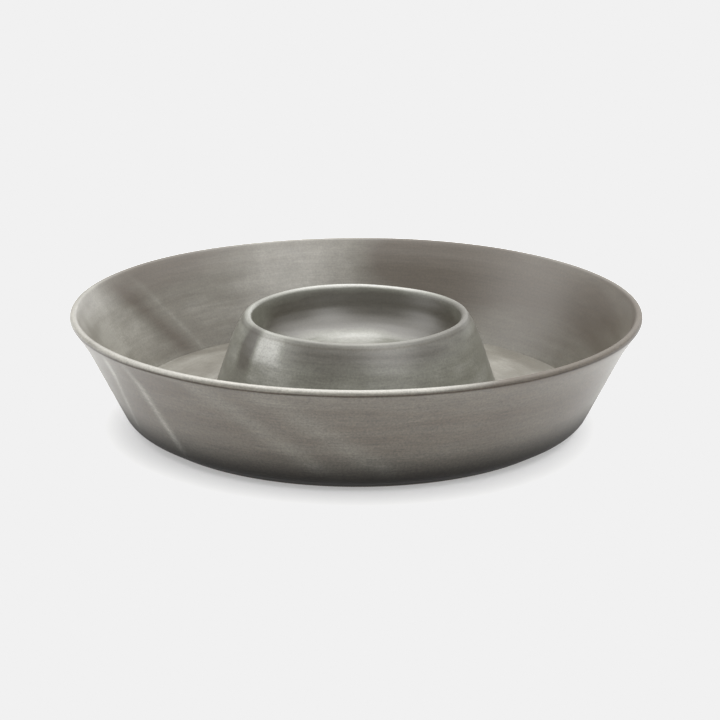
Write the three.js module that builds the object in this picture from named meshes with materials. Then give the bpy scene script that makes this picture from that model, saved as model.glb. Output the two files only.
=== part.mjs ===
// A chip and dip bowl in satin-glazed stoneware, made as two fired pieces.
// The chip bowl is a wide bowl whose wall leans out and flares a little more below its lip, and whose rounded heel
// turns under to a foot ring. Its floor has a shallow round well in the middle. The dip cup is a small bowl hung
// from the rim of its own cone-shaped skirt, hollow below, and it stands loose in that well.
// Millimetres, +Z up. The origin is on the table, under the centre of the foot ring.

import * as THREE from "three";

// Chip bowl
const RIM_DIAMETER = 332;
const BOWL_HEIGHT = 67;
const BOWL_WALL = 4.5;
const BOWL_FLOOR = 6.5;
const COVE_RADIUS = 8;
const FLARE_WIDTH = 8;
const FLARE_DROP = 15;
const FLARE_RADIUS = 80;
const HEEL_DIAMETER = 271;
const HEEL_HEIGHT = 6.2;
const HEEL_RADIUS = 10;
const FOOT_DIAMETER = 250;
const FOOT_WIDTH = 9;
const FOOT_HEIGHT = 5;
const FOOT_EDGE_RADIUS = 1;

// Well that keeps the dip cup in the middle of the floor
const WELL_DEPTH = 1.5;
const WELL_EDGE_RADIUS = 0.6;
const WELL_CLEARANCE = 0.8;
const SEAT_GAP = 0.3;

// Dip cup
const CUP_RIM_DIAMETER = 132;
const CUP_BASE_DIAMETER = 171;
const CUP_HEIGHT = 51.5;
const CUP_DEPTH = 29;
const CUP_LIP = 4.8;
const CUP_WALL = 4.8;
const CUP_INSIDE_LEAN = THREE.MathUtils.degToRad(12);
const CUP_CORNER_RADIUS = 22;
const CUP_FOOT_EDGE_RADIUS = 1;
const SHOULDER_DIAMETER = 142;
const SHOULDER_DROP = 8.4;
const SHOULDER_RADIUS = 56;
const HOLLOW_CROWN_RADIUS = 1.2;

// Fineness of the round surfaces
const TURN_STEPS = 72;
const ARC_TOLERANCE = 0.06;

// Heights that both pieces share
const floorTop = FOOT_HEIGHT + BOWL_FLOOR;
const wellFloor = floorTop - WELL_DEPTH;

// A corner of a profile, at a radius from the axis and a height, with the radius that it is rounded to
function corner(r, z, rounding = 0) {
  return { at: new THREE.Vector2(r, z), rounding };
}

// Points along an arc, close enough together that no straight step strays from it by more than the tolerance
function arc(start, centre, sweep) {
  const longestStep = 2 * Math.acos(1 - ARC_TOLERANCE / start.distanceTo(centre));
  const steps = Math.ceil(Math.abs(sweep) / longestStep);
  return Array.from({ length: steps + 1 }, (_, i) => start.clone().rotateAround(centre, (sweep * i) / steps));
}

// The full round on top of a wall, from the wall's outside over to its inside. A lean is a wall's angle from
// upright, positive where the wall widens upwards.
function lipRound(centre, radius, outsideLean, insideLean) {
  const outermost = new THREE.Vector2(centre.x + radius, centre.y);
  const start = outermost.rotateAround(centre, -outsideLean);
  return arc(start, centre, Math.PI - insideLean + outsideLean).map((point) => corner(point.x, point.y));
}

// The lean of a wall that rises from a point to touch the outside of a lip's round
function leanToLip(from, centre, radius) {
  const rise = centre.clone().sub(from);
  return Math.atan2(rise.x, rise.y) + Math.asin(radius / rise.length());
}

// A straight wall face, set off from a line through a point at a lean: gives its radius at any height
function wallFace(through, lean, offset) {
  return (z) => through.x + (z - through.y) * Math.tan(lean) + offset / Math.cos(lean);
}

// The point behind a bend in a wall's outside, where its inside bends as well
function insideBend(bend, leanBelow, leanAbove, thickness) {
  const lean = (leanBelow + leanAbove) / 2;
  const inward = new THREE.Vector2(-Math.cos(lean), Math.sin(lean));
  return bend.clone().addScaledVector(inward, thickness / Math.cos(leanAbove - lean));
}

// Half the angle between the two sides that meet at a corner
function halfAngle(before, { at }, after) {
  return before.at.clone().sub(at).angleTo(after.at.clone().sub(at)) / 2;
}

// The arc that rounds a corner, beginning and ending at a reach from it along both sides
function roundedCorner(before, point, after, reach) {
  const toBefore = before.at.clone().sub(point.at).normalize();
  const toAfter = after.at.clone().sub(point.at).normalize();
  const half = halfAngle(before, point, after);
  const start = point.at.clone().addScaledVector(toBefore, reach);
  const inward = toBefore.clone().add(toAfter).normalize();
  const centre = point.at.clone().addScaledVector(inward, reach / Math.cos(half));
  return arc(start, centre, (2 * half - Math.PI) * Math.sign(toBefore.cross(toAfter)));
}

// A solid turned about the Z axis, from a profile that runs from the axis round to the axis again. Where two
// roundings want more of the side between them than there is, both give way in proportion.
function turned(corners) {
  const wanted = corners.map((point, i) =>
    point.rounding > 0 ? point.rounding / Math.tan(halfAngle(corners[i - 1], point, corners[i + 1])) : 0
  );
  const share = (i, j) => Math.min(1, corners[i].at.distanceTo(corners[j].at) / (wanted[i] + wanted[j]));
  const profile = corners.flatMap((point, i) => {
    if (point.rounding === 0) return [point.at];
    const reach = wanted[i] * Math.min(share(i - 1, i), share(i, i + 1));
    return roundedCorner(corners[i - 1], point, corners[i + 1], reach);
  });
  return new THREE.LatheGeometry(profile, TURN_STEPS).rotateX(Math.PI / 2);
}

function chipBowl() {
  const footRadius = FOOT_DIAMETER / 2;
  const heel = new THREE.Vector2(HEEL_DIAMETER / 2, HEEL_HEIGHT);
  const flare = new THREE.Vector2(RIM_DIAMETER / 2 - FLARE_WIDTH, BOWL_HEIGHT - FLARE_DROP);
  const lipRadius = BOWL_WALL / 2;
  const lip = new THREE.Vector2(RIM_DIAMETER / 2 - lipRadius, BOWL_HEIGHT - lipRadius);
  const wallLean = Math.atan2(flare.x - heel.x, flare.y - heel.y);
  const flareLean = leanToLip(flare, lip, lipRadius);
  const inside = wallFace(flare, wallLean, -BOWL_WALL);
  const insideFlare = insideBend(flare, wallLean, flareLean, BOWL_WALL);
  const wellRadius = CUP_BASE_DIAMETER / 2 + WELL_CLEARANCE;

  return turned([
    corner(0, FOOT_HEIGHT),
    corner(footRadius - FOOT_WIDTH, FOOT_HEIGHT, FOOT_EDGE_RADIUS),
    corner(footRadius - FOOT_WIDTH, 0, FOOT_EDGE_RADIUS),
    corner(footRadius, 0, FOOT_EDGE_RADIUS),
    corner(heel.x, heel.y, HEEL_RADIUS),
    corner(flare.x, flare.y, FLARE_RADIUS),
    ...lipRound(lip, lipRadius, flareLean, flareLean),
    corner(insideFlare.x, insideFlare.y, FLARE_RADIUS + BOWL_WALL),
    corner(inside(floorTop), floorTop, COVE_RADIUS),
    corner(wellRadius, floorTop, WELL_EDGE_RADIUS),
    corner(wellRadius, wellFloor, WELL_EDGE_RADIUS),
    corner(0, wellFloor),
  ]);
}

// The cup's own heights start at its foot
function dipCup() {
  const base = new THREE.Vector2(CUP_BASE_DIAMETER / 2, 0);
  const shoulder = new THREE.Vector2(SHOULDER_DIAMETER / 2, CUP_HEIGHT - SHOULDER_DROP);
  const lipRadius = CUP_LIP / 2;
  const lip = new THREE.Vector2(CUP_RIM_DIAMETER / 2 - lipRadius, CUP_HEIGHT - lipRadius);
  const skirtLean = Math.atan2(shoulder.x - base.x, shoulder.y - base.y);
  const shoulderLean = leanToLip(shoulder, lip, lipRadius);

  const insideFloor = CUP_HEIGHT - CUP_DEPTH;
  const underside = insideFloor - CUP_WALL;
  const inside = wallFace(lip, CUP_INSIDE_LEAN, -lipRadius);
  const innerBowlBack = wallFace(lip, CUP_INSIDE_LEAN, CUP_WALL - lipRadius);
  const skirtBack = wallFace(base, skirtLean, -CUP_WALL);

  // The hollow under the cup ends where the back of the inner bowl meets the back of the skirt
  const crown = (skirtBack(0) - innerBowlBack(0)) / (Math.tan(CUP_INSIDE_LEAN) - Math.tan(skirtLean));

  return turned([
    corner(0, underside),
    corner(innerBowlBack(underside), underside, CUP_CORNER_RADIUS + CUP_WALL),
    corner(innerBowlBack(crown), crown, HOLLOW_CROWN_RADIUS),
    corner(skirtBack(0), 0, CUP_FOOT_EDGE_RADIUS),
    corner(base.x, base.y, CUP_FOOT_EDGE_RADIUS),
    corner(shoulder.x, shoulder.y, SHOULDER_RADIUS),
    ...lipRound(lip, lipRadius, shoulderLean, CUP_INSIDE_LEAN),
    corner(inside(insideFloor), insideFloor, CUP_CORNER_RADIUS),
    corner(0, insideFloor),
  ]);
}

const bowlGlaze = new THREE.MeshStandardMaterial({ color: 0x8d8880, roughness: 0.42, metalness: 0.35 });
const cupGlaze = new THREE.MeshStandardMaterial({ color: 0x8f908a, roughness: 0.4, metalness: 0.35 });

const bowl = new THREE.Mesh(chipBowl(), bowlGlaze);
bowl.name = "chip_bowl";

const cup = new THREE.Mesh(dipCup(), cupGlaze);
cup.name = "dip_cup";
cup.position.z = wellFloor + SEAT_GAP;

const chipAndDip = new THREE.Group();
chipAndDip.name = "chip_and_dip_bowl";
chipAndDip.add(bowl, cup);

export default chipAndDip;
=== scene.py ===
"""Chip and dip bowl in satin-glazed stoneware.

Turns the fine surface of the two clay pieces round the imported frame, glazes them, and sets them on a pale
table under soft studio light. Metres, +Z up, with the table at z = 0 and the camera looking along +Y.
"""

import logging
import math
from abc import ABC, abstractmethod
from collections.abc import Mapping
from dataclasses import dataclass
from enum import Enum
from functools import cached_property
from itertools import accumulate, pairwise
from typing import Any

import bmesh
import bpy
from mathutils import Matrix, Vector, noise


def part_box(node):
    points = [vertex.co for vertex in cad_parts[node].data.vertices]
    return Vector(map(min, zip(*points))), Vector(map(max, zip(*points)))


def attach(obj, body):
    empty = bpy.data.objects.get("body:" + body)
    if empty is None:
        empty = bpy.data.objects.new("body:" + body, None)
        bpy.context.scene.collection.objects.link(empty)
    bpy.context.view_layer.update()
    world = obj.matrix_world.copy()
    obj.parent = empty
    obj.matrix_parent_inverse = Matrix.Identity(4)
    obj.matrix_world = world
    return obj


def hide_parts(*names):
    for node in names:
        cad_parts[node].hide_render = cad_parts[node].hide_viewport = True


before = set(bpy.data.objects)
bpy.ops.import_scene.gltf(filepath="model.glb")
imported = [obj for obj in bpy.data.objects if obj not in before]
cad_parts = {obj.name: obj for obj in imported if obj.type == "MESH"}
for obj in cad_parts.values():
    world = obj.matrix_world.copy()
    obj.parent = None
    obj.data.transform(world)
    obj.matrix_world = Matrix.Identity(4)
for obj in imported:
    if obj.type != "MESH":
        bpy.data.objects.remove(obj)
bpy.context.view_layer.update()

MM = 0.001
MERGE_DISTANCE = 0.002 * MM
LEAST_RADIUS = 0.01 * MM
CREASE_ANGLE = math.radians(40.0)
AXIS_HOLD = 20.0 * MM
FOOT_HOLD = 0.25
LIP_FADE = 3
UP = (0.0, 0.0, 1.0)
RUN = "run"

Colour = tuple[float, float, float]
Number = "Value | float"

log = logging.getLogger("chip_and_dip")


class Maths(Enum):
    """The arithmetic that the glazes are worked out with."""

    ADD = "ADD"
    SUBTRACT = "SUBTRACT"
    MULTIPLY = "MULTIPLY"
    DIVIDE = "DIVIDE"
    SQRT = "SQRT"
    ARCTAN2 = "ARCTAN2"
    EXPONENT = "EXPONENT"
    MAXIMUM = "MAXIMUM"


class Value:
    """A number on a shader socket, which Python arithmetic carries on from."""

    def __init__(self, shader: "Shader", socket: bpy.types.NodeSocket) -> None:
        """Holds a socket and the shader that it belongs to."""
        self.shader = shader
        self.socket = socket

    def maths(self, operation: Maths, *others: Number, clamp: bool = False) -> "Value":
        """Adds a Math node that starts from this value.

        Args:
            operation: What the node does.
            others: The node's other operands, values or plain numbers.
            clamp: Whether the result is kept between 0 and 1.

        Returns:
            The result.
        """
        settings = {"operation": operation.value, "use_clamp": clamp}
        return self.shader.node("ShaderNodeMath", settings, dict(enumerate((self, *others))))

    def _turned_round(self, operation: Maths, first: float) -> "Value":
        """The same, with a plain number as the first operand."""
        return self.shader.node("ShaderNodeMath", {"operation": operation.value}, {0: first, 1: self})

    def __add__(self, other: Number) -> "Value":
        """Their sum."""
        return self.maths(Maths.ADD, other)

    def __sub__(self, other: Number) -> "Value":
        """Their difference."""
        return self.maths(Maths.SUBTRACT, other)

    def __rsub__(self, other: float) -> "Value":
        """A plain number less this value."""
        return self._turned_round(Maths.SUBTRACT, other)

    def __mul__(self, other: Number) -> "Value":
        """Their product."""
        return self.maths(Maths.MULTIPLY, other)

    def __truediv__(self, other: Number) -> "Value":
        """Their quotient."""
        return self.maths(Maths.DIVIDE, other)

    __radd__ = __add__
    __rmul__ = __mul__

    def clamped(self) -> "Value":
        """This value, kept between 0 and 1."""
        return self.maths(Maths.ADD, 0.0, clamp=True)

    def hump(self, middle: Number, spread: float) -> "Value":
        """A bell curve that is 1 where this value is at the middle, and falls off over the spread."""
        offset = (self - middle) / spread
        return (offset * offset * -1.0).maths(Maths.EXPONENT)

    def rise(self, low: float, high: float) -> "Value":
        """A smooth step from 0 at the low value to 1 at the high one."""
        sockets = {"Value": self, "From Min": low, "From Max": high}
        return self.shader.node("ShaderNodeMapRange", {"interpolation_type": "SMOOTHSTEP"}, sockets)


class Shader:
    """A node tree of a material or a world, and what its nodes are made with."""

    def __init__(self, owner: bpy.types.Material | bpy.types.World) -> None:
        """Empties the owner's node tree."""
        owner.use_nodes = True
        self.owner = owner
        self.tree = owner.node_tree
        self.tree.nodes.clear()

    def node(
        self,
        kind: str,
        settings: Mapping[str, Any] | None = None,
        sockets: Mapping[str | int, Any] | None = None,
        output: str | int = 0,
    ) -> Value:
        """Adds a node.

        Args:
            kind: The node's type.
            settings: Its own properties, and a ramp's stops as (place, colour) pairs.
            sockets: Values or links for its inputs, by name or number.
            output: Which of its outputs is wanted.

        Returns:
            That output.
        """
        made = self.tree.nodes.new(kind)
        for name, setting in (settings or {}).items():
            if name == "stops":
                self._set_stops(made.color_ramp, setting)
            else:
                setattr(made, name, setting)
        for name, value in (sockets or {}).items():
            if isinstance(value, Value):
                self.tree.links.new(value.socket, made.inputs[name])
            else:
                made.inputs[name].default_value = value
        return Value(self, made.outputs[output])

    @staticmethod
    def _set_stops(ramp: bpy.types.ColorRamp, stops: list[tuple[float, Colour]]) -> None:
        """Gives a colour ramp its stops, in order."""
        while len(ramp.elements) < len(stops):
            ramp.elements.new(1.0)
        for element, (place, colour) in zip(ramp.elements, stops):
            element.position = place
            element.color = (*colour, 1.0)

    def surface(self, sockets: Mapping[str, Any]) -> bpy.types.Material:
        """Ends a material's tree in a Principled surface.

        Args:
            sockets: What the surface's inputs hold.

        Returns:
            The finished material.
        """
        shaded = self.node("ShaderNodeBsdfPrincipled", None, sockets)
        self.tree.links.new(shaded.socket, self.tree.nodes.new("ShaderNodeOutputMaterial").inputs["Surface"])
        return self.owner

    def surround(self, light: Value) -> bpy.types.World:
        """Ends a world's tree in white light.

        Args:
            light: How bright it is in each direction.

        Returns:
            The finished world.
        """
        shaded = self.node("ShaderNodeBackground", None, {"Color": (1.0, 1.0, 1.0, 1.0), "Strength": light})
        self.tree.links.new(shaded.socket, self.tree.nodes.new("ShaderNodeOutputWorld").inputs["Surface"])
        return self.owner

    def mixed(self, share: Number, first: Value | Colour, second: Value | Colour) -> Value:
        """A colour between two others.

        Args:
            share: How much of the second there is.
            first: The colour at 0.
            second: The colour at 1.

        Returns:
            The mixed colour.
        """
        ends = [c if isinstance(c, Value) else (*c, 1.0) for c in (first, second)]
        sockets = {"Factor": share, 6: ends[0], 7: ends[1]}
        return self.node("ShaderNodeMix", {"data_type": "RGBA"}, sockets, output=2)

    def noise(self, place: Value, scale: float, detail: float = 2.0, rough: float = 0.5) -> Value:
        """Cloudy noise about 0.5, at a place that is already a vector."""
        sockets = {"Vector": place, "Scale": scale, "Detail": detail, "Roughness": rough}
        return self.node("ShaderNodeTexNoise", None, sockets)

    def turned(self) -> "TurnedPlace":
        """Where a point lies on a turned piece."""
        at = self.node("ShaderNodeTexCoord", output="Object")
        x = self.node("ShaderNodeSeparateXYZ", None, {0: at}, "X")
        y = self.node("ShaderNodeSeparateXYZ", None, {0: at}, "Y")
        radius = (x * x + y * y).maths(Maths.SQRT).maths(Maths.MAXIMUM, LEAST_RADIUS)
        run = self.node("ShaderNodeAttribute", {"attribute_name": RUN}, None, "Fac")
        return TurnedPlace(self, at, x / radius, y / radius, run)


@dataclass(frozen=True)
class TurnedPlace:
    """A point of a turned piece: its object coordinates, its direction from the axis, and its run.

    The run is the distance along the profile from the top of the lip, positive down the outside.
    """

    shader: Shader
    at: Value
    east: Value
    north: Value
    run: Value

    def ringed(self, around: float, across: float) -> Value:
        """A place for noise that is drawn out into rings.

        Args:
            around: Cells along a ring, for one radius of turn.
            across: Cells along the profile, for one metre.

        Returns:
            The place, as a vector.
        """
        sockets = {"X": self.east * around, "Y": self.north * around, "Z": self.run * across}
        return self.shader.node("ShaderNodeCombineXYZ", None, sockets)

    def angle(self) -> Value:
        """The direction from the axis, in radians."""
        return self.north.maths(Maths.ARCTAN2, self.east)

    def towards(self, azimuth: float, spread: float) -> Value:
        """A smooth mask about one direction.

        Args:
            azimuth: The direction in degrees, 0 to the right of the photo and -90 to the viewer.
            spread: How far the mask reaches to either side, in degrees.

        Returns:
            1 in that direction, falling to 0 away from it.
        """
        angle = math.radians(azimuth)
        facing = self.east * math.cos(angle) + self.north * math.sin(angle)
        return facing.hump(1.0, 1.0 - math.cos(math.radians(spread)))


@dataclass(frozen=True)
class Mottle:
    """One layer of noise in a finish, and how strongly it shows.

    Attributes:
        cells: Its cells for one metre.
        detail: How many finer layers it has.
        rough: How strong those are.
        around: Its cells along a ring, for one radius of turn, where it is drawn out into rings.
        tone: Its share in how thick the glaze looks.
        colour: Its share in the fine texture of the colour.
        roughness: Its share in the roughness.
        height: Its share in the bumps.
    """

    cells: float
    detail: float
    rough: float
    around: float | None = None
    tone: float = 0.0
    colour: float = 0.0
    roughness: float = 0.0
    height: float = 0.0

    def over(self, place: TurnedPlace) -> Value:
        """The layer over a piece, about 0."""
        if self.around is None:
            layer = place.shader.noise(place.at, self.cells, self.detail, self.rough)
        else:
            layer = place.shader.noise(place.ringed(self.around, self.cells), 1.0, self.detail, self.rough)
        return layer - 0.5


STREAKS = Mottle(cells=1000.0, detail=3.0, rough=0.6, around=9.0, colour=0.8, roughness=0.12, height=0.5)
BANDS = Mottle(cells=130.0, detail=3.0, rough=0.55, around=2.2, tone=0.45, roughness=0.1, height=0.35)
CLOUDS = Mottle(cells=26.0, detail=6.0, rough=0.62, tone=0.6)
GRAIN = Mottle(cells=800.0, detail=3.0, rough=0.7, colour=1.4, height=0.3)
CLAY_GRAIN = Mottle(cells=1400.0, detail=4.0, rough=0.7, colour=0.3, roughness=0.2, height=1.0)
CLAY_RINGS = Mottle(cells=1500.0, detail=2.0, rough=0.5, around=4.0, colour=0.5, height=0.6)
CLAY_SPECKS = Mottle(cells=700.0, detail=1.0, rough=0.5)


@dataclass(frozen=True)
class PaintedLightPatch:
    """A large soft patch of painted light, or of painted shade where its tone is negative.

    Attributes:
        azimuth: Its direction from the axis, in degrees.
        spread: Its reach round the piece, in degrees.
        run: Where its middle lies along the profile.
        reach: Its reach along the profile.
        tone: How much paler the painted light makes it, or, where negative, how much browner the painted
            shade makes it.
    """

    azimuth: float
    spread: float
    run: float
    reach: float
    tone: float

    def tint(self, place: TurnedPlace) -> Value:
        """The patch's tone over the piece."""
        return place.towards(self.azimuth, self.spread) * place.run.hump(self.run, self.reach) * self.tone


@dataclass(frozen=True)
class PaintedReflectionStreak:
    """A narrow painted reflection streak running down a wall.

    Attributes:
        start: Its direction from the axis at the lip, in degrees.
        end: The same at its lower end.
        length: How far along the profile it goes, negative down the inside.
        width: Its width, in degrees.
        tone: How much paler the painted reflection makes it, or, where negative, how much browner.
        onset: The share of its length over which it sets in.
        fade_from: The share of its length at which it starts to fade.
        fade_to: The share of its length at which it is gone.
    """

    start: float
    end: float
    length: float
    width: float
    tone: float
    onset: float = 0.2
    fade_from: float = 0.9
    fade_to: float = 1.2

    def tint(self, place: TurnedPlace) -> Value:
        """The run's tone over the piece."""
        share = place.run / self.length
        middle = share * math.radians(self.end - self.start) + math.radians(self.start)
        along = share.rise(0.0, self.onset) * (1.0 - share.rise(self.fade_from, self.fade_to))
        return place.angle().hump(middle, math.radians(self.width)) * along * self.tone


@dataclass(frozen=True)
class PewterGlaze:
    """A satin grey glaze, streaked round the piece by the wheel, browner where thinner, with painted light
    and shade in its colour.

    Attributes:
        name: The material's name.
        thin_and_shaded: Its colour where the glaze is thinner, and where painted shade lies.
        body: Its usual colour.
        milky_and_lit: Its colour where it pools, and where painted light lies.
        break_and_shade_colour: Its colour where it breaks on a lip, and in the painted shade line under the
            lip.
        under_lip_shade_run: Where the painted shade line under the lip lies.
        under_lip_shade_depth: How strong that line is.
        base_shade_colour: The colour of the painted shade low on the outside, towards the foot.
        base_shade_run: Where that painted shade has nearly reached its full strength, above the foot.
        metallic: How metallic the sheen is.
        roughness: The usual roughness.
        inside_texture: How strong its fine streaks and grain are inside the piece.
        outside_texture: The same outside.
        painted_light_patches: Its large soft areas of painted light and shade, and its painted reflection
            streaks.
        patch_mottle: How much the clouds break up the patches.
        thin_and_shaded_tone: The tone at which it shows its colour for thinner glaze and painted shade.
        body_tone: The same for its usual colour.
        milky_and_lit_tone: The same for its colour for pooled glaze and painted light.
        line_width: The width of the painted shade line under the lip.
        line_wander: How far that line strays up and down.
        line_metal: How much more metallic that line is.
        crest_width: How far the top of the lip reaches to either side.
        crest_break: How much the glaze breaks there.
        crest_matt: How much rougher it is there where it runs thin.
        base_shade_rise: How far above the foot the painted shade starts.
        base_shade_past: How far past that end the painted shade goes on darkening.
        base_shade_metal: How much more metallic it is under that painted shade.
        base_shade_matt: How much rougher it is there.
        lip_depth: How far below the lip the outside's texture is at its full strength.
        bump_strength: How strong its bumps are.
        bump_depth: How deep they are.
        refraction: Its index of refraction.
    """

    name: str
    thin_and_shaded: Colour
    body: Colour
    milky_and_lit: Colour
    break_and_shade_colour: Colour
    under_lip_shade_run: float
    under_lip_shade_depth: float
    base_shade_colour: Colour
    base_shade_run: float
    metallic: float
    roughness: float
    inside_texture: float
    outside_texture: float
    painted_light_patches: tuple[PaintedLightPatch | PaintedReflectionStreak, ...] = ()
    patch_mottle: float = 1.5
    thin_and_shaded_tone: float = 0.12
    body_tone: float = 0.5
    milky_and_lit_tone: float = 0.9
    line_width: float = 0.8 * MM
    line_wander: float = 2.0 * MM
    line_metal: float = 0.8
    crest_width: float = 2.6 * MM
    crest_break: float = 1.2
    crest_matt: float = 0.7
    base_shade_rise: float = 27.0 * MM
    base_shade_past: float = 2.0 * MM
    base_shade_metal: float = 0.7
    base_shade_matt: float = 0.25
    lip_depth: float = 5.0 * MM
    bump_strength: float = 0.2
    bump_depth: float = 0.1 * MM
    refraction: float = 1.8

    def material(self) -> bpy.types.Material:
        """Builds the material."""
        shader = Shader(bpy.data.materials.new(self.name))
        place = shader.turned()
        streaks, bands, clouds, grain = (layer.over(place) for layer in (STREAKS, BANDS, CLOUDS, GRAIN))

        tone = self._tone(place, bands, clouds)
        stops = [(self.thin_and_shaded_tone, self.thin_and_shaded), (self.body_tone, self.body), (self.milky_and_lit_tone, self.milky_and_lit)]
        glazed = shader.node("ShaderNodeValToRGB", {"stops": stops}, {"Fac": tone})

        # Painted shade: a dark line all round just under the lip, where shade falls below its roll; the
        # crest's broken colour on top is the glaze's own.
        line_place = place.run + bands * self.line_wander
        line = line_place.hump(self.under_lip_shade_run, self.line_width) * self.under_lip_shade_depth
        crest = place.run.hump(0.0, self.crest_width)
        broken_and_shaded = shader.mixed((line + crest * clouds * self.crest_break).clamped(), glazed, self.break_and_shade_colour)
        # Painted shade: the outside grows darker, duller and more metallic over its lowest stretch towards
        # the foot, where shade falls near what it stands on.
        base_shade = place.run.rise(self.base_shade_run - self.base_shade_rise, self.base_shade_run + self.base_shade_past)
        smooth = shader.mixed(base_shade, broken_and_shaded, self.base_shade_colour)

        outside = place.run.rise(0.0, self.lip_depth)
        depth = self.inside_texture + outside * (self.outside_texture - self.inside_texture)
        texture = 1.0 + (streaks * STREAKS.colour + grain * GRAIN.colour) * depth
        sockets = {0: smooth, "Scale": texture}
        colour = shader.node("ShaderNodeVectorMath", {"operation": "SCALE"}, sockets, "Vector")

        metallic = (self.metallic + line * self.line_metal + base_shade * self.base_shade_metal).clamped()
        roughness = self.roughness + streaks * STREAKS.roughness + bands * BANDS.roughness
        roughness = roughness + base_shade * self.base_shade_matt
        roughness = roughness + crest * (self.body_tone - tone).clamped() * self.crest_matt
        height = streaks * STREAKS.height + bands * BANDS.height + grain * GRAIN.height
        sockets = {"Strength": self.bump_strength, "Distance": self.bump_depth, "Height": height}
        return shader.surface(
            {
                "Base Color": colour,
                "Roughness": roughness,
                "Metallic": metallic,
                "IOR": self.refraction,
                "Normal": shader.node("ShaderNodeBump", None, sockets),
            }
        )

    def _tone(self, place: TurnedPlace, bands: Value, clouds: Value) -> Value:
        """How thick the glaze looks over the piece, with the painted light and shade added.

        Args:
            place: The place on the piece.
            bands: The layer of wide rings.
            clouds: The layer of soft clouds.

        Returns:
            The tone, from 0 for thinner glaze and painted shade to 1 for pooled glaze and painted light.
        """
        tone = self.body_tone + clouds * CLOUDS.tone + bands * BANDS.tone
        uneven = 1.0 + clouds * self.patch_mottle
        # Painted light and shade: each patch and streak makes the tone paler or darker.
        for patch in self.painted_light_patches:
            tone = tone + patch.tint(place) * uneven
        return tone.clamped()


@dataclass(frozen=True)
class BareClay:
    """Unglazed fired clay, on the rings that a piece stands on in the kiln.

    Attributes:
        name: The material's name.
        body: Its usual colour.
        speck: The colour of its iron specks.
        worn: How much of its brightness is left where it is worn.
        wear: How worn it is on the whole.
        speck_from: The noise at which a speck begins.
        speck_full: The noise at which a speck has its full strength.
        speck_strength: That strength.
        roughness: Its usual roughness.
        bump_strength: How strong its bumps are.
        bump_depth: How deep they are.
    """

    name: str
    body: Colour
    speck: Colour
    worn: float = 0.7
    wear: float = 0.4
    speck_from: float = 0.16
    speck_full: float = 0.22
    speck_strength: float = 0.8
    roughness: float = 0.88
    bump_strength: float = 0.5
    bump_depth: float = 0.15 * MM

    def material(self) -> bpy.types.Material:
        """Builds the material."""
        shader = Shader(bpy.data.materials.new(self.name))
        place = shader.turned()
        grain, rings, specks = (layer.over(place) for layer in (CLAY_GRAIN, CLAY_RINGS, CLAY_SPECKS))
        wear = self.wear + rings * CLAY_RINGS.colour + grain * CLAY_GRAIN.colour
        clay = shader.mixed(wear, self.body, tuple(part * self.worn for part in self.body))
        speckled = specks.rise(self.speck_from, self.speck_full) * self.speck_strength
        height = grain * CLAY_GRAIN.height + rings * CLAY_RINGS.height
        sockets = {"Strength": self.bump_strength, "Distance": self.bump_depth, "Height": height}
        return shader.surface(
            {
                "Base Color": shader.mixed(speckled, clay, self.speck),
                "Roughness": self.roughness + grain * CLAY_GRAIN.roughness,
                "Normal": shader.node("ShaderNodeBump", None, sockets),
            }
        )


@dataclass(frozen=True)
class Corner:
    """One corner of a profile: its radius from the axis, its height, and the reach of its rounding."""

    r: float
    z: float
    reach: float = 0.0
    steps: int = 6

    def place(self) -> Vector:
        """The corner in the plane that the profile is drawn in."""
        return Vector((self.r, 0.0, self.z))


@dataclass(frozen=True)
class Handwork:
    """The unevenness that hands leave in a thrown piece.

    Attributes:
        swell: How far the wall swells and sinks in large soft patches.
        rings: How far the throwing rings stand out.
        ring_pitch: The distance between throwing rings.
        lip_wave: How far the lip rises and falls.
        seed: Which piece of the noise this piece takes.
        swells_around: Swells along a ring, for one radius of turn.
        swells_along: Swells along the profile, for one metre.
        drift_around: Drifts of the throwing rings along a ring, for one radius of turn.
        drift_along: The same along the profile, for one metre.
        drift_turn: How far a drift moves the throwing rings, in radians of their wave.
        even: The share of the throwing rings' height that is the same all over.
        lip_waves: Waves along the lip, for one radius of turn.
    """

    swell: float
    rings: float
    ring_pitch: float
    lip_wave: float
    seed: float
    swells_around: float = 1.6
    swells_along: float = 28.0
    drift_around: float = 0.8
    drift_along: float = 60.0
    drift_turn: float = 4.0
    even: float = 0.6
    lip_waves: float = 1.3

    def offset(self, east: float, north: float, run: float) -> float:
        """How far a point stands out from the true profile.

        Args:
            east: The point's direction from the axis, along X.
            north: The same along Y.
            run: The point's distance along the profile.

        Returns:
            The distance along the surface's normal.
        """
        way = Vector((east, north, 0.0))
        swell_place = way * self.swells_around + Vector((self.seed, 0.0, run * self.swells_along))
        drift_place = way * self.drift_around + Vector((0.0, self.seed, run * self.drift_along))
        drift = noise.noise(drift_place)
        ring = math.sin(math.tau * run / self.ring_pitch + self.drift_turn * drift)
        ring_height = self.rings * (self.even + (1.0 - self.even) * drift)
        return self.swell * noise.noise(swell_place) + ring_height * ring

    def lift(self, east: float, north: float) -> float:
        """How far the lip stands above its true height, in one direction from the axis."""
        return self.lip_wave * noise.noise(Vector((east * self.lip_waves, north * self.lip_waves, self.seed)))


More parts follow.
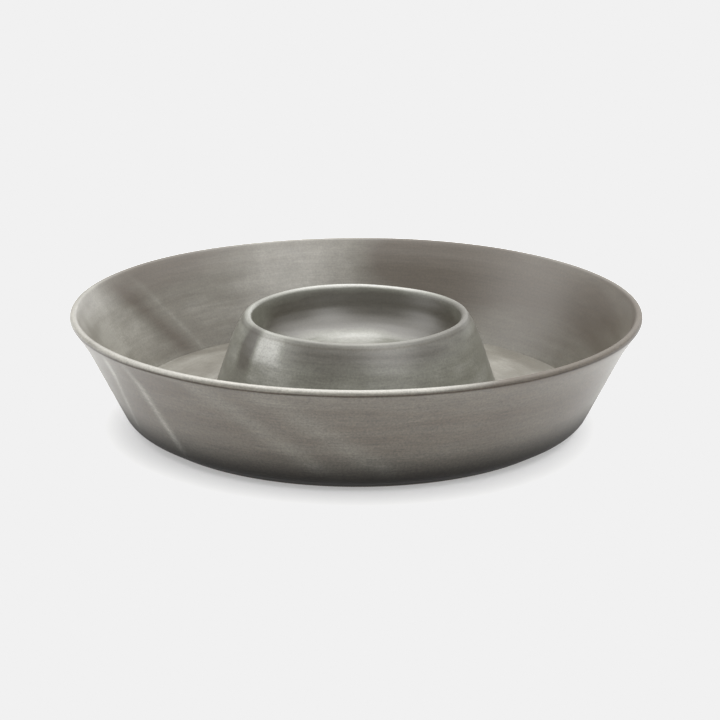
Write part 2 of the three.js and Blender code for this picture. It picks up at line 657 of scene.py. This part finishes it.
@dataclass
class ThrownPiece(ABC):
    """A clay piece turned about the upright axis.

    Attributes:
        node: The solid that the piece replaces, which also names its body.
        slot: The record's finish for it. Not used.
        glaze: Its glaze.
        clay: Its bare clay.
        handwork: Its unevenness.
        around: How many steps the full turn has.
        step: The longest straight step along the profile.
        bare_height: How high above the piece's foot the clay stays bare.
    """

    node: str
    slot: str
    glaze: PewterGlaze
    clay: BareClay
    handwork: Handwork
    around: int
    step: float
    bare_height: float

    @cached_property
    def foot(self) -> float:
        """The height of the piece's lowest point."""
        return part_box(self.node)[0].z

    @cached_property
    def top(self) -> float:
        """The height of the piece's highest point."""
        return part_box(self.node)[1].z

    @abstractmethod
    def corners(self) -> list[Corner]:
        """The profile, from the axis underneath round to the axis inside."""

    def build(self) -> bpy.types.Object:
        """Makes the piece, dresses it and hangs it on its body.

        Returns:
            The finished object.
        """
        work = bmesh.new()
        self._draw_profile(work)
        self._measure_run(work)
        self._turn(work)
        self._shape_by_hand(work)
        for face in work.faces:
            face.smooth = True
            face.material_index = int(face.calc_center_median().z < self.foot + self.bare_height)
        for edge in work.edges:
            edge.smooth = edge.calc_face_angle(0.0) < CREASE_ANGLE
        mesh = bpy.data.meshes.new(self.node)
        work.to_mesh(mesh)
        work.free()
        mesh.materials.append(self.glaze.material())
        mesh.materials.append(self.clay.material())
        piece = bpy.data.objects.new(f"thrown_{self.node}", mesh)
        bpy.context.scene.collection.objects.link(piece)
        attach(piece, self.node)
        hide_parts(self.node)
        return piece

    def _draw_profile(self, work: bmesh.types.BMesh) -> None:
        """Draws the profile as a chain of edges, with its corners rounded and its long stretches divided."""
        corners = self.corners()
        verts = [work.verts.new(corner.place()) for corner in corners]
        for ends in pairwise(verts):
            work.edges.new(ends)
        for vert, corner in zip(verts, corners):
            if corner.reach > 0.0:
                bmesh.ops.bevel(
                    work,
                    geom=[vert],
                    offset=corner.reach,
                    offset_type="OFFSET",
                    affect="VERTICES",
                    segments=corner.steps,
                    profile=0.5,
                    material=-1,
                )
        bmesh.ops.remove_doubles(work, verts=work.verts, dist=MERGE_DISTANCE)
        for edge in work.edges[:]:
            cuts = int(edge.calc_length() / self.step)
            if cuts > 0:
                bmesh.ops.subdivide_edges(work, edges=[edge], cuts=cuts)

    @staticmethod
    def _measure_run(work: bmesh.types.BMesh) -> None:
        """Writes each profile point's run, before the profile is turned."""
        layer = work.verts.layers.float.new(RUN)
        chain = [min((v for v in work.verts if len(v.link_edges) == 1), key=lambda v: v.co.z)]
        seen = set(chain)

        def ahead() -> list[bmesh.types.BMVert]:
            """The neighbours of the chain's last point that it hasn't reached yet."""
            last = chain[-1]
            return [vert for vert in (edge.other_vert(last) for edge in last.link_edges) if vert not in seen]

        while further := ahead():
            chain.append(further[0])
            seen.add(further[0])
        lengths = list(accumulate(((a.co - b.co).length for a, b in pairwise(chain)), initial=0.0))
        crest = max(range(len(chain)), key=lambda i: chain[i].co.z)
        for vert, length in zip(chain, lengths):
            vert[layer] = lengths[crest] - length

    def _turn(self, work: bmesh.types.BMesh) -> None:
        """Turns the profile through a quarter, and copies that round the other three."""
        quarter = math.tau / 4
        profile = work.verts[:] + work.edges[:]
        bmesh.ops.spin(work, geom=profile, axis=UP, angle=quarter, steps=self.around // 4)
        shell = work.verts[:] + work.edges[:] + work.faces[:]
        bmesh.ops.spin(work, geom=shell, axis=UP, angle=3 * quarter, steps=3, use_duplicate=True)
        bmesh.ops.remove_doubles(work, verts=work.verts, dist=MERGE_DISTANCE)
        bmesh.ops.recalc_face_normals(work, faces=work.faces)

    def _shape_by_hand(self, work: bmesh.types.BMesh) -> None:
        """Gives the true turned shape its unevenness, which fades out towards the foot and the axis."""
        layer = work.verts.layers.float[RUN]
        work.normal_update()
        moves = []
        for vert in work.verts:
            flat = Vector((vert.co.x, vert.co.y))
            share = (vert.co.z - self.foot) / (self.top - self.foot)
            hold = min(1.0, flat.length / AXIS_HOLD) * min(1.0, max(0.0, share) / FOOT_HOLD)
            east, north = flat.normalized() if flat.length > MERGE_DISTANCE else (0.0, 0.0)
            move = vert.normal * (self.handwork.offset(east, north, vert[layer]) * hold)
            move.z += self.handwork.lift(east, north) * max(0.0, share) ** LIP_FADE
            moves.append((vert, move))
        for vert, move in moves:
            vert.co += move


@dataclass
class ChipBowl(ThrownPiece):
    """The wide flared bowl, with its heel, foot ring and the well that the cup stands in."""

    wall: float = 4.5 * MM
    floor: float = 11.5 * MM
    flare_width: float = 8.0 * MM
    flare_drop: float = 15.0 * MM
    flare_reach: float = 5.3 * MM
    heel_radius: float = 135.5 * MM
    heel_height: float = 6.2 * MM
    heel_reach: float = 3.0 * MM
    foot_radius: float = 125.0 * MM
    foot_width: float = 9.0 * MM
    foot_height: float = 5.0 * MM
    foot_reach: float = 1.0 * MM
    outer_foot_reach: float = foot_reach / 3
    well_radius: float = 86.3 * MM
    well_depth: float = 1.5 * MM
    well_reach: float = 0.6 * MM

    def corners(self) -> list[Corner]:
        """The bowl's profile, with its lip as two quarter rounds across the wall."""
        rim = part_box(self.node)[1].x
        half = self.wall / 2
        lip = Vector((rim - half, self.top - half))
        flare = Vector((rim - self.flare_width, self.top - self.flare_drop))
        rise = lip - flare
        flare_lean = math.atan2(rise.x, rise.y) + math.asin(half / rise.length)
        wall_lean = math.atan2(flare.x - self.heel_radius, flare.y - self.heel_height)
        up = Vector((math.sin(flare_lean), math.cos(flare_lean))) * half
        out = Vector((math.cos(flare_lean), -math.sin(flare_lean))) * half
        bend = (flare_lean + wall_lean) / 2
        inward = Vector((-math.cos(bend), math.sin(bend)))
        inner_flare = flare + inward * self.wall / math.cos(flare_lean - bend)
        inside = flare.x + (self.floor - flare.y) * math.tan(wall_lean) - self.wall / math.cos(wall_lean)
        inner_foot = self.foot_radius - self.foot_width
        return [
            Corner(0.0, self.foot_height),
            Corner(inner_foot, self.foot_height, self.foot_reach),
            Corner(inner_foot, 0.0, self.foot_reach),
            Corner(self.foot_radius, 0.0, self.outer_foot_reach),
            Corner(self.heel_radius, self.heel_height, self.heel_reach, 8),
            Corner(*flare, self.flare_reach),
            Corner(*(lip + up + out), half, 8),
            Corner(*(lip + up - out), half, 8),
            Corner(*inner_flare, self.flare_reach),
            Corner(inside, self.floor),
            Corner(self.well_radius, self.floor, self.well_reach),
            Corner(self.well_radius, self.floor - self.well_depth, self.well_reach),
            Corner(0.0, self.floor - self.well_depth),
        ]


@dataclass
class DipCup(ThrownPiece):
    """The dip cup, a small bowl hung from the rim of its own cone-shaped skirt."""

    rim_radius: float = 66.0 * MM
    base_radius: float = 85.5 * MM
    depth: float = 29.0 * MM
    wall: float = 4.8 * MM
    inside_lean: float = math.radians(12.0)
    corner_radius: float = 22.0 * MM
    foot_reach: float = 1.0 * MM
    shoulder_radius: float = 71.0 * MM
    shoulder_drop: float = 8.4 * MM
    shoulder_reach: float = 8.7 * MM
    crown_reach: float = 4.0 * MM

    def corners(self) -> list[Corner]:
        """The cup's profile, with its hollow underneath."""
        half = self.wall / 2
        lip = Vector((self.rim_radius - half, self.top - half))
        shoulder = Vector((self.shoulder_radius, self.top - self.shoulder_drop))
        rise = lip - shoulder
        lean = math.atan2(rise.x, rise.y) + math.asin(half / rise.length)
        skirt = (self.base_radius - shoulder.x) / (shoulder.y - self.foot)
        splay = math.tan(self.inside_lean)
        inner_floor = self.top - self.depth
        underside = inner_floor - self.wall

        def inside(z: float, behind: float) -> float:
            """The inner wall's radius at a height, or that of a face behind it."""
            return lip.x + (z - lip.y) * splay + (behind - half) / math.cos(self.inside_lean)

        def skirt_back(z: float) -> float:
            """The radius of the skirt's back face at a height."""
            return self.base_radius - (z - self.foot) * skirt - self.wall / math.cos(math.atan(skirt))

        crown = self.foot + (skirt_back(self.foot) - inside(self.foot, self.wall)) / (splay + skirt)
        bend = math.tan((math.pi / 2 - self.inside_lean) / 2)
        return [
            Corner(0.0, underside),
            Corner(inside(underside, self.wall), underside, (self.corner_radius + self.wall) * bend, 14),
            Corner(inside(crown, self.wall), crown, self.crown_reach),
            Corner(skirt_back(self.foot), self.foot, self.foot_reach),
            Corner(self.base_radius, self.foot, self.foot_reach),
            Corner(shoulder.x, shoulder.y, self.shoulder_reach, 10),
            *self._lip_corners(lip, half, lean),
            Corner(inside(inner_floor, 0.0), inner_floor, self.corner_radius * bend, 14),
            Corner(0.0, inner_floor),
        ]

    def _lip_corners(self, lip: Vector, half: float, outside_lean: float) -> list[Corner]:
        """The lip's corners, where its outside and inside faces reach a level line over the top.

        Args:
            lip: The centre of the lip's round.
            half: The radius of that round.
            outside_lean: The outside face's angle from upright.

        Returns:
            The outer and the inner corner.
        """
        outer = Corner(lip.x + half * math.tan(math.pi / 4 + outside_lean / 2), self.top)
        inner = Corner(lip.x - half * math.tan(math.pi / 4 - self.inside_lean / 2), self.top)
        return [
            Corner(outer.r, outer.z, outer.r - lip.x, 8),
            Corner(inner.r, inner.z, lip.x - inner.r, 8),
        ]


@dataclass(frozen=True)
class SoftLight:
    """A large soft light far off in one direction.

    Attributes:
        azimuth: Its direction in degrees, 0 to the right of the photo and -90 to the viewer.
        height: Its height above the table's level, in degrees.
        spread: How far it reaches from its middle, in degrees.
        strength: How bright it is.
    """

    azimuth: float
    height: float
    spread: float
    strength: float

    def light(self, shader: Shader, direction: Value) -> Value:
        """How bright the light is in a direction."""
        azimuth, height = math.radians(self.azimuth), math.radians(self.height)
        level = math.cos(height)
        middle = (level * math.cos(azimuth), level * math.sin(azimuth), math.sin(height))
        settings = {"operation": "DOT_PRODUCT"}
        facing = shader.node("ShaderNodeVectorMath", settings, {0: direction, 1: middle}, "Value")
        return facing.hump(1.0, 1.0 - math.cos(math.radians(self.spread))) * self.strength


@dataclass(frozen=True)
class Studio:
    """The pale table, the soft lights and the camera.

    Attributes:
        table_size: The table's width.
        table_tone: The table's paleness.
        table_glow: How much the table is lit from below.
        table_roughness: The table's roughness.
        table_refraction: The table's index of refraction.
        surround: How bright the room is where no light stands.
        lights: The soft lights.
        white: The brightness that the picture's white stands for.
        lens: The camera's focal length, in millimetres.
        distance: How far the camera stands in front of the axis.
        height: How high it stands above the table.
        pitch: How far it looks down, in degrees.
        yaw: How far it looks aside, in degrees.
        roll: How far it leans, in degrees.
    """

    table_size: float = 12.0
    table_tone: float = 0.64
    table_glow: float = 0.31
    table_roughness: float = 0.7
    table_refraction: float = 1.3
    surround: float = 0.58
    lights: tuple[SoftLight, ...] = (
        SoftLight(azimuth=90.0, height=76.0, spread=45.0, strength=3.6),
        SoftLight(azimuth=-53.0, height=40.0, spread=21.0, strength=2.3),
        SoftLight(azimuth=10.0, height=40.0, spread=24.0, strength=0.7),
        SoftLight(azimuth=68.0, height=12.0, spread=20.0, strength=1.4),
        SoftLight(azimuth=180.0, height=20.0, spread=24.0, strength=1.8),
    )
    white: float = 0.879
    lens: float = 100.0
    distance: float = 1.1263
    height: float = 0.37905
    pitch: float = 17.10
    yaw: float = -0.115
    roll: float = 0.137

    def build(self) -> None:
        """Sets up the table, the lights, the camera and the picture's white."""
        self._table()
        self._room()
        self._camera()
        self._white_point()

    def _table(self) -> None:
        """Makes the table top, which is no part of the object."""
        work = bmesh.new()
        bmesh.ops.create_grid(work, x_segments=1, y_segments=1, size=self.table_size / 2)
        mesh = bpy.data.meshes.new("table")
        work.to_mesh(mesh)
        work.free()
        shader = Shader(bpy.data.materials.new("pale_table"))
        finish = {
            "Base Color": (*[self.table_tone] * 3, 1.0),
            "Roughness": self.table_roughness,
            "IOR": self.table_refraction,
            "Emission Color": (1.0, 1.0, 1.0, 1.0),
            "Emission Strength": self.table_glow,
        }
        mesh.materials.append(shader.surface(finish))
        table = bpy.data.objects.new("table", mesh)
        bpy.context.scene.collection.objects.link(table)

    def _room(self) -> None:
        """Lights the scene from all round, and more where the soft lights stand."""
        shader = Shader(bpy.data.worlds.new("room"))
        direction = shader.node("ShaderNodeTexCoord", output="Generated")
        light = sum((soft.light(shader, direction) for soft in self.lights), self.surround)
        bpy.context.scene.world = shader.surround(light)

    def _white_point(self) -> None:
        """Shows everything brighter than the picture's white as that white."""
        settings = bpy.context.scene.view_settings
        settings.view_transform = "Standard"
        settings.use_curve_mapping = True
        curve = settings.curve_mapping.curves[3]
        curve.points.new(self.white, self.white)
        curve.points[-1].location = (1.0, self.white)
        for point in curve.points:
            point.handle_type = "VECTOR"
        settings.curve_mapping.update()

    def _camera(self) -> None:
        """Stands the camera where the photo was taken from."""
        lens = bpy.data.cameras.new("camera")
        lens.lens = self.lens
        camera = bpy.data.objects.new("camera", lens)
        turn = Matrix.Rotation(math.radians(self.yaw), 4, "Z")
        tilt = Matrix.Rotation(math.radians(90.0 - self.pitch), 4, "X")
        roll = Matrix.Rotation(math.radians(self.roll), 4, "Z")
        camera.matrix_world = Matrix.Translation((0.0, -self.distance, self.height)) @ turn @ tilt @ roll
        bpy.context.scene.collection.objects.link(camera)
        bpy.context.scene.camera = camera


BARE_CLAY = BareClay(name="bare_clay", body=(0.1, 0.083, 0.066), speck=(0.03, 0.022, 0.016))

BOWL_GLAZE = PewterGlaze(
    name="bowl_glaze",
    # These ramp colours also carry the painted shade and painted light laid on below.
    thin_and_shaded=(0.062, 0.048, 0.032),
    body=(0.115, 0.105, 0.083),
    milky_and_lit=(0.24, 0.23, 0.2),
    # The break colour also fills the painted shade line under the lip; the foot colour is painted shade near
    # the base.
    break_and_shade_colour=(0.034, 0.026, 0.019),
    under_lip_shade_run=4.1 * MM,
    under_lip_shade_depth=0.9,
    base_shade_colour=(0.012, 0.01, 0.008),
    base_shade_run=70.0 * MM,
    metallic=0.1,
    roughness=0.35,
    inside_texture=0.6,
    outside_texture=1.35,
    painted_light_patches=(
        # Painted light and shade inside: lighter on the left, at the back and on the floor; darker high on
        # the back left, at the back right and on the right.
        PaintedLightPatch(azimuth=180.0, spread=26.0, run=-25.0 * MM, reach=34.0 * MM, tone=0.36),
        PaintedLightPatch(azimuth=142.0, spread=20.0, run=-8.0 * MM, reach=14.0 * MM, tone=-0.35),
        PaintedLightPatch(azimuth=108.0, spread=18.0, run=-20.0 * MM, reach=26.0 * MM, tone=0.16),
        PaintedLightPatch(azimuth=70.0, spread=17.0, run=-16.0 * MM, reach=22.0 * MM, tone=-0.6),
        PaintedLightPatch(azimuth=35.0, spread=40.0, run=-22.0 * MM, reach=28.0 * MM, tone=-0.4),
        PaintedLightPatch(azimuth=0.0, spread=180.0, run=-92.0 * MM, reach=24.0 * MM, tone=0.2),
        # Painted highlight along the lip at the front, painted shade on the lip at the front right.
        PaintedLightPatch(azimuth=-112.0, spread=62.0, run=0.8 * MM, reach=2.4 * MM, tone=0.7),
        PaintedLightPatch(azimuth=-35.0, spread=32.0, run=0.5 * MM, reach=4.5 * MM, tone=-1.2),
        # Painted shade over the front of the outside wall, and in a small spot at the front left.
        PaintedLightPatch(azimuth=-100.0, spread=120.0, run=32.0 * MM, reach=38.0 * MM, tone=-0.32),
        PaintedLightPatch(azimuth=-132.0, spread=9.0, run=12.0 * MM, reach=7.0 * MM, tone=-0.4),
        # Painted reflection streaks: a dark and a pale one down the inner left wall, pale ones down the
        # outside at the front.
        PaintedReflectionStreak(start=161.0, end=142.0, length=-62.0 * MM, width=3.4, tone=-0.36),
        PaintedReflectionStreak(start=153.0, end=137.0, length=-62.0 * MM, width=1.1, tone=0.12),
        PaintedReflectionStreak(start=-145.5, end=-150.5, length=62.0 * MM, width=1.2, tone=0.5),
        PaintedReflectionStreak(start=-139.5, end=-133.0, length=66.0 * MM, width=1.4, tone=0.5),
        PaintedReflectionStreak(start=-124.0, end=-96.0, length=66.0 * MM, width=3.5, tone=0.25),
        PaintedReflectionStreak(start=-111.0, end=-82.0, length=66.0 * MM, width=4.0, tone=0.2),
    ),
)

CUP_GLAZE = PewterGlaze(
    name="cup_glaze",
    # These ramp colours also carry the painted shade and painted light laid on below.
    thin_and_shaded=(0.057, 0.051, 0.038),
    body=(0.135, 0.134, 0.109),
    milky_and_lit=(0.3, 0.298, 0.272),
    # The break colour also fills the painted shade line under the lip; the foot colour is painted shade near
    # the base.
    break_and_shade_colour=(0.055, 0.043, 0.033),
    under_lip_shade_run=4.4 * MM,
    under_lip_shade_depth=0.25,
    base_shade_colour=(0.03, 0.027, 0.022),
    base_shade_run=66.0 * MM,
    metallic=0.1,
    roughness=0.33,
    inside_texture=0.5,
    outside_texture=0.8,
    painted_light_patches=(
        # Painted reflection and painted shade on the outside at the front left, and painted shade under the
        # lip at the front.
        PaintedLightPatch(azimuth=-136.0, spread=9.0, run=10.0 * MM, reach=9.0 * MM, tone=0.5),
        PaintedLightPatch(azimuth=-150.0, spread=6.0, run=14.0 * MM, reach=14.0 * MM, tone=-0.6),
        PaintedLightPatch(azimuth=-80.0, spread=55.0, run=8.5 * MM, reach=8.0 * MM, tone=-0.4),
        # Painted shade on the lip at the right, painted highlight on the lip at the back.
        PaintedLightPatch(azimuth=-15.0, spread=40.0, run=0.5 * MM, reach=3.5 * MM, tone=-0.3),
        PaintedLightPatch(azimuth=90.0, spread=45.0, run=0.0 * MM, reach=3.0 * MM, tone=0.5),
        # Painted shade inside at the back, painted highlight on the inside floor.
        PaintedLightPatch(azimuth=75.0, spread=75.0, run=-18.0 * MM, reach=12.0 * MM, tone=-1.0),
        PaintedLightPatch(azimuth=98.0, spread=30.0, run=-38.0 * MM, reach=10.0 * MM, tone=0.4),
    ),
)


def main() -> None:
    """Builds the bowl, the cup and the studio, and reports each piece."""
    logging.basicConfig(level=logging.INFO, format="%(name)s: %(message)s")
    Studio().build()
    pieces = [
        ChipBowl(
            node="chip_bowl",
            slot="bowl_glaze",
            glaze=BOWL_GLAZE,
            clay=BARE_CLAY,
            handwork=Handwork(
                swell=0.16 * MM,
                rings=0.03 * MM,
                ring_pitch=7.0 * MM,
                lip_wave=0.35 * MM,
                seed=3.7,
            ),
            around=384,
            step=2.4 * MM,
            bare_height=0.9 * MM,
        ),
        DipCup(
            node="dip_cup",
            slot="cup_glaze",
            glaze=CUP_GLAZE,
            clay=BARE_CLAY,
            handwork=Handwork(
                swell=0.2 * MM,
                rings=0.05 * MM,
                ring_pitch=6.0 * MM,
                lip_wave=0.5 * MM,
                seed=9.2,
            ),
            around=320,
            step=1.8 * MM,
            bare_height=0.7 * MM,
        ),
    ]
    for piece in pieces:
        made = piece.build()
        log.info("%s: %d faces", made.name, len(made.data.polygons))


if __name__ == "__main__":
    main()
